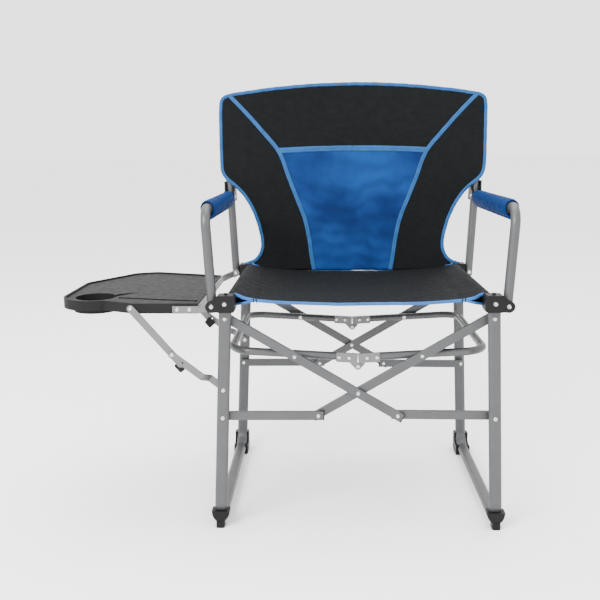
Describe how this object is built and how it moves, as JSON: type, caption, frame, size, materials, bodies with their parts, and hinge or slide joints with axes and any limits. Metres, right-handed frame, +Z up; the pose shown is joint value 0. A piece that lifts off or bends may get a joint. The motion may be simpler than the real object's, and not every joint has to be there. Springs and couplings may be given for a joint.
{
  "type": "folding camp chair",
  "caption": "Folding director-style camp chair with sling seat and back, padded arms, crossed bars and a drop-down side table with a cup holder.",
  "frame": {"origin": "centre of the bounding box's footprint, on the floor", "axes": "+Z up, +Y towards the back of the chair, +X towards the sitter's left; the side table is on the -X side; the person sits facing -Y"},
  "size_m": [0.9192, 0.4817, 0.912],
  "materials": {
    "grey_steel": "fine satin powder coat",
    "edge_steel": "satin powder coat, a little lighter",
    "bright_rivet": "zinc-plated rivets",
    "black_plastic": "fine-textured moulded plastic",
    "tray_plastic": "dark grey moulded plastic",
    "pad_cloth": "blue polyester over foam",
    "seat_cloth": "black woven polyester with a blue edge",
    "back_cloth": "black woven polyester with a blue mesh panel and blue binding"
  },
  "bodies": {
    "left_frame": {"left_side_frame": "grey_steel", "left_front_foot": "black_plastic", "left_rear_foot": "black_plastic", "left_front_bracket": "black_plastic", "left_rear_bracket": "black_plastic", "left_seat_rail": "grey_steel", "left_frame_rivets": "bright_rivet"},
    "right_frame": {"right_side_frame": "grey_steel", "right_front_foot": "black_plastic", "right_rear_foot": "black_plastic", "right_front_bracket": "black_plastic", "right_rear_bracket": "black_plastic", "right_seat_rail": "grey_steel", "right_frame_rivets": "bright_rivet", "right_leg_spacers": "black_plastic"},
    "left_bars": {"front_left_bar": "grey_steel", "rear_left_bar": "grey_steel", "left_bar_plugs": "black_plastic", "left_bar_rivets": "bright_rivet"},
    "left_links": {"front_left_link": "grey_steel", "rear_left_link": "grey_steel", "left_link_plugs": "black_plastic", "left_link_rivets": "bright_rivet"},
    "brace_left": {"left_brace_tube": "grey_steel", "left_brace_hinges": "grey_steel", "left_brace_rivets": "bright_rivet"},
    "left_upper": {"left_arm_tube": "grey_steel", "left_back_post": "grey_steel", "left_saddle": "black_plastic", "left_saddle_rivets": "bright_rivet", "left_arm_pad": "pad_cloth"},
    "seat_left": {"seat_cloth_left": "seat_cloth"},
    "back_left": {"back_cloth_left": "back_cloth"},
    "right_bars": {"front_right_bar": "grey_steel", "rear_right_bar": "grey_steel", "right_bar_plugs": "black_plastic", "right_bar_rivets": "bright_rivet"},
    "right_links": {"front_right_link": "grey_steel", "rear_right_link": "grey_steel", "right_link_plugs": "black_plastic", "right_link_rivets": "bright_rivet"},
    "brace_right": {"right_brace_tube": "grey_steel", "right_brace_hinges": "grey_steel", "right_brace_rivets": "bright_rivet"},
    "right_upper": {"right_arm_tube": "grey_steel", "right_back_post": "grey_steel", "right_saddle": "black_plastic", "right_saddle_rivets": "bright_rivet", "right_arm_pad": "pad_cloth"},
    "seat_right": {"seat_cloth_right": "seat_cloth"},
    "back_right": {"back_cloth_right": "back_cloth"},
    "table": {"table_tray": "tray_plastic", "table_front_strap": "grey_steel", "table_edge_bar": "edge_steel", "table_rear_strap": "edge_steel", "table_rivets": "bright_rivet"},
    "table_upper_links": {"table_upper_links": "grey_steel", "table_stop_blocks": "black_plastic"},
    "table_lower_links": {"table_lower_links": "grey_steel", "table_knee_rivets": "bright_rivet"}
  },
  "joints": [
    {"name": "scissor_fold", "type": "hinge", "parent": "left_frame", "child": "left_bars", "pos_m": [-0.1204, -0.2103, 0.43424], "axis": [0, 1, 0], "range_deg": [0, 51.9]},
    {"name": "bar_cross", "type": "hinge", "parent": "left_bars", "child": "right_bars", "pos_m": [0.1404, -0.20605, 0.28], "axis": [0, -1, 0], "range_deg": [0, 98.81]},
    {"name": "right_bar_top", "type": "hinge", "parent": "right_bars", "child": "right_frame", "pos_m": [0.4012, -0.2018, 0.43424], "axis": [0, 1, 0], "range_deg": [0, 51.91]},
    {"name": "left_link_pivot", "type": "hinge", "parent": "left_frame", "child": "left_links", "pos_m": [-0.12922, -0.2103, 0.23231], "axis": [0, 1, 0], "range_deg": [0, 81.67]},
    {"name": "right_link_pivot", "type": "hinge", "parent": "right_frame", "child": "right_links", "pos_m": [0.41002, -0.2018, 0.23231], "axis": [0, -1, 0], "range_deg": [0, 81.67]},
    {"name": "brace_pivot", "type": "hinge", "parent": "left_bars", "child": "brace_left", "pos_m": [0.01435, -0.1868, 0.35455], "axis": [0, -1, 0], "range_deg": [0, 138.55]},
    {"name": "brace_hinge", "type": "hinge", "parent": "brace_left", "child": "brace_right", "pos_m": [0.1404, -0.1963, 0.331], "axis": [0, 1, 0], "range_deg": [0, 178.3]},
    {"name": "left_ear", "type": "hinge", "parent": "left_frame", "child": "left_upper", "pos_m": [-0.1446, -0.2218, 0.46], "axis": [0, 1, 0], "range_deg": [0, 5.71]},
    {"name": "right_ear", "type": "hinge", "parent": "right_frame", "child": "right_upper", "pos_m": [0.4254, -0.2218, 0.46], "axis": [0, -1, 0], "range_deg": [0, 5.71]},
    {"name": "left_seat_fold", "type": "hinge", "parent": "left_frame", "child": "seat_left", "pos_m": [-0.1086, -0.0068, 0.469], "axis": [0, -1, 0], "range_deg": [0, 79.57], "deforming": ["seat_cloth_left"]},
    {"name": "seat_crease", "type": "hinge", "parent": "seat_left", "child": "seat_right", "pos_m": [0.1404, -0.0068, 0.461], "axis": [0, 1, 0], "range_deg": [0, 164.12], "deforming": ["seat_cloth_right"]},
    {"name": "left_back_fold", "type": "hinge", "parent": "left_upper", "child": "back_left", "pos_m": [-0.1446, 0.2082, 0.46], "axis": [-0.0557, 0.0523, 0.9971], "range_deg": [0, 77.23], "deforming": ["back_cloth_left"]},
    {"name": "back_crease", "type": "hinge", "parent": "back_left", "child": "back_right", "pos_m": [0.1404, 0.19706, 0.46058], "axis": [0, -0.0523, -0.9986], "range_deg": [0, 154.46], "deforming": ["back_cloth_right"]},
    {"name": "table_fold", "type": "hinge", "parent": "left_frame", "child": "table", "pos_m": [-0.1446, -0.2218, 0.46], "axis": [0, -1, 0], "range_deg": [0, 75]},
    {"name": "lower_link_pivot", "type": "hinge", "parent": "left_frame", "child": "table_lower_links", "pos_m": [-0.1267, -0.213, 0.29], "axis": [0, -1, 0], "range_deg": [0, 94.79]},
    {"name": "upper_link_pivot", "type": "hinge", "parent": "table", "child": "table_upper_links", "pos_m": [-0.3026, -0.2335, 0.456], "axis": [0, 1, 0], "range_deg": [0, 120.97]}
  ],
  "couplings": [
    {"joint": "bar_cross", "follows": "scissor_fold", "ratio": 1.9037},
    {"joint": "right_bar_top", "follows": "scissor_fold", "ratio": 1},
    {"joint": "left_link_pivot", "follows": "scissor_fold", "ratio": 1.5735},
    {"joint": "right_link_pivot", "follows": "scissor_fold", "ratio": 1.5735},
    {"joint": "brace_pivot", "follows": "scissor_fold", "ratio": 2.6694},
    {"joint": "brace_hinge", "follows": "scissor_fold", "ratio": 3.4352},
    {"joint": "left_ear", "follows": "scissor_fold", "ratio": 0.10983},
    {"joint": "right_ear", "follows": "scissor_fold", "ratio": 0.10983},
    {"joint": "left_seat_fold", "follows": "scissor_fold", "ratio": 1.5329},
    {"joint": "seat_crease", "follows": "scissor_fold", "ratio": 3.1621},
    {"joint": "left_back_fold", "follows": "scissor_fold", "ratio": 1.488},
    {"joint": "back_crease", "follows": "scissor_fold", "ratio": 2.9759},
    {"joint": "lower_link_pivot", "follows": "table_fold", "ratio": 1.2637},
    {"joint": "upper_link_pivot", "follows": "table_fold", "ratio": 1.6129}
  ]
}
